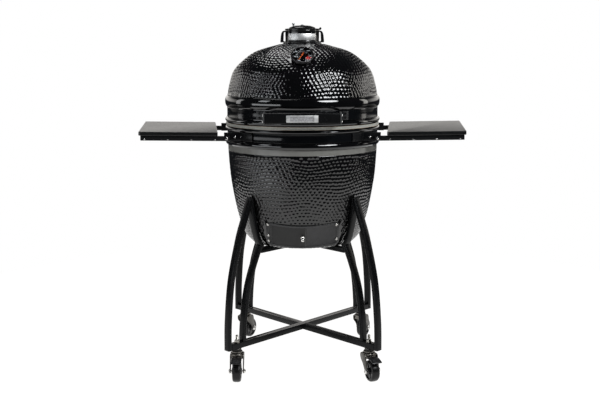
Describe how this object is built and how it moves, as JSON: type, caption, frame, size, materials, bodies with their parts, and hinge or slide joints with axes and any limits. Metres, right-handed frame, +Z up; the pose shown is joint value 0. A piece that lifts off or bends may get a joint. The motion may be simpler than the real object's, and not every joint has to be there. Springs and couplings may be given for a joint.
{
  "type": "kamado ceramic grill",
  "caption": "Free-standing ceramic charcoal grill with a hinged dome, top and bottom draft vents, fold-down side shelves and a rolling four-legged stand.",
  "frame": {"origin": "on the floor, under the centre of the whole object's plan outline, which is the vertical axis of the ceramic body", "axes": "+Z up; the front with the handle, thermometer and draft door faces -Y; the side shelves reach out along -X and +X"},
  "size_m": [1.1964, 0.6636, 1.2303],
  "materials": {
    "black_glaze": "black gloss glaze over a dimpled ceramic body",
    "raw_ceramic": "unglazed fired ceramic",
    "black_paint": "satin black powder coat on steel",
    "cast_black": "fine black coating on cast aluminium",
    "stainless": "brushed stainless steel",
    "zinc": "zinc-plated steel",
    "felt": "grey fibre gasket felt",
    "iron": "cast iron, dark and matt",
    "shelf_board": "dark grey-black composite board, satin",
    "wheel_rubber": "black caster tread and hub",
    "dial_face": "printed black dial",
    "needle": "orange paint",
    "lens": "clear flat glass"
  },
  "bodies": {
    "base": {"base_bowl": "black_glaze", "firebox": "raw_ceramic", "fire_ring": "raw_ceramic", "charcoal_grate": "iron", "cooking_grid": "stainless", "gasket_lower": "felt", "band_lower": "black_paint", "draft_frame": "black_paint", "hinge_base_bracket": "black_paint", "hinge_shaft": "zinc", "hinge_spring_left": "zinc", "hinge_spring_right": "zinc", "cross_upper": "black_paint", "cross_lower": "black_paint", "leg_front_right": "black_paint", "leg_rear_right": "black_paint", "leg_rear_left": "black_paint", "leg_front_left": "black_paint", "caster_stem_front_right": "zinc", "caster_stem_rear_right": "zinc", "caster_stem_rear_left": "zinc", "caster_stem_front_left": "zinc", "shelf_bracket_front_left": "black_paint", "shelf_bracket_front_right": "black_paint", "shelf_bracket_rear_left": "black_paint", "shelf_bracket_rear_right": "black_paint"},
    "lid": {"dome_lid": "black_glaze", "gasket_upper": "felt", "band_upper": "black_paint", "hinge_lid_bracket": "black_paint", "handle_bracket_left": "black_paint", "handle_bracket_right": "black_paint", "handle_grip": "black_paint", "handle_badge": "stainless", "thermometer_case": "cast_black", "thermometer_dial": "dial_face", "thermometer_lens": "lens", "vent_collar": "cast_black", "vent_housing": "cast_black", "vent_badge": "stainless"},
    "needle": {"thermometer_needle": "needle"},
    "vent_cover": {"vent_cover": "cast_black"},
    "vent_disc": {"vent_disc": "cast_black", "vent_knob": "stainless"},
    "draft_door": {"draft_door": "black_paint", "draft_knob": "stainless"},
    "shelf_left": {"shelf_board_left": "shelf_board", "shelf_frame_left": "black_paint"},
    "shelf_right": {"shelf_board_right": "shelf_board", "shelf_frame_right": "black_paint"},
    "caster_fork_front_right": {"caster_fork_front_right": "zinc"},
    "caster_wheel_front_right": {"caster_wheel_front_right": "wheel_rubber"},
    "caster_fork_rear_right": {"caster_fork_rear_right": "zinc"},
    "caster_wheel_rear_right": {"caster_wheel_rear_right": "wheel_rubber"},
    "caster_fork_rear_left": {"caster_fork_rear_left": "zinc"},
    "caster_wheel_rear_left": {"caster_wheel_rear_left": "wheel_rubber"},
    "caster_fork_front_left": {"caster_fork_front_left": "zinc"},
    "caster_wheel_front_left": {"caster_wheel_front_left": "wheel_rubber"},
    "brake_pedal_front_right": {"brake_pedal_front_right": "black_paint"},
    "brake_pedal_front_left": {"brake_pedal_front_left": "black_paint"}
  },
  "joints": [
    {"name": "lid_hinge", "type": "hinge", "parent": "base", "child": "lid", "pos_m": [0, 0.3178, 0.8805], "axis": [-1, 0, 0], "range_deg": [0, 70]},
    {"name": "vent_cover_hinge", "type": "hinge", "parent": "lid", "child": "vent_cover", "pos_m": [0.064, 0, 1.2116], "axis": [0, 1, 0], "range_deg": [0, 110]},
    {"name": "vent_disc_turn", "type": "hinge", "parent": "vent_cover", "child": "vent_disc", "pos_m": [0, 0, 1.212], "axis": [0, 0, 1], "range_deg": [0, 36]},
    {"name": "needle_turn", "type": "hinge", "parent": "lid", "child": "needle", "pos_m": [0, -0.1992, 1.1141], "axis": [0, 0.6947, -0.7193], "range_deg": [0, 290]},
    {"name": "draft_door_slide", "type": "hinge", "parent": "base", "child": "draft_door", "pos_m": [0, 0, 0.5658], "axis": [0, -0.2622, 0.965], "range_deg": [0, 24]},
    {"name": "shelf_left_fold", "type": "hinge", "parent": "base", "child": "shelf_left", "pos_m": [-0.2803, 0.01825, 0.8405], "axis": [0.1115, -0.9938, 0], "range_deg": [0, 90]},
    {"name": "shelf_right_fold", "type": "hinge", "parent": "base", "child": "shelf_right", "pos_m": [0.2803, 0.01825, 0.8405], "axis": [0.1115, 0.9938, 0], "range_deg": [0, 90]},
    {"name": "caster_swivel_front_right", "type": "hinge", "parent": "base", "child": "caster_fork_front_right", "pos_m": [0.22981, -0.22981, 0.0975], "axis": [0, 0, 1], "continuous": true},
    {"name": "caster_roll_front_right", "type": "hinge", "parent": "caster_fork_front_right", "child": "caster_wheel_front_right", "pos_m": [0.23955, -0.25392, 0.0375], "axis": [0.9272, 0.3746, 0], "continuous": true},
    {"name": "caster_swivel_rear_right", "type": "hinge", "parent": "base", "child": "caster_fork_rear_right", "pos_m": [0.22981, 0.22981, 0.0975], "axis": [0, 0, 1], "continuous": true},
    {"name": "caster_roll_rear_right", "type": "hinge", "parent": "caster_fork_rear_right", "child": "caster_wheel_rear_right", "pos_m": [0.24202, 0.25277, 0.0375], "axis": [-0.8829, 0.4695, 0], "continuous": true},
    {"name": "caster_swivel_rear_left", "type": "hinge", "parent": "base", "child": "caster_fork_rear_left", "pos_m": [-0.22981, 0.22981, 0.0975], "axis": [0, 0, 1], "continuous": true},
    {"name": "caster_roll_rear_left", "type": "hinge", "parent": "caster_fork_rear_left", "child": "caster_wheel_rear_left", "pos_m": [-0.2176, 0.25277, 0.0375], "axis": [-0.8829, 0.4695, 0], "continuous": true},
    {"name": "caster_swivel_front_left", "type": "hinge", "parent": "base", "child": "caster_fork_front_left", "pos_m": [-0.22981, -0.22981, 0.0975], "axis": [0, 0, 1], "continuous": true},
    {"name": "caster_roll_front_left", "type": "hinge", "parent": "caster_fork_front_left", "child": "caster_wheel_front_left", "pos_m": [-0.22981, -0.25581, 0.0375], "axis": [1, 0, 0], "continuous": true},
    {"name": "brake_front_right", "type": "hinge", "parent": "caster_fork_front_right", "child": "brake_pedal_front_right", "pos_m": [0.23955, -0.25392, 0.0845], "axis": [0.9272, 0.3746, 0], "range_deg": [-12, 0]},
    {"name": "brake_front_left", "type": "hinge", "parent": "caster_fork_front_left", "child": "brake_pedal_front_left", "pos_m": [-0.22981, -0.25581, 0.0845], "axis": [1, 0, 0], "range_deg": [-12, 0]}
  ]
}
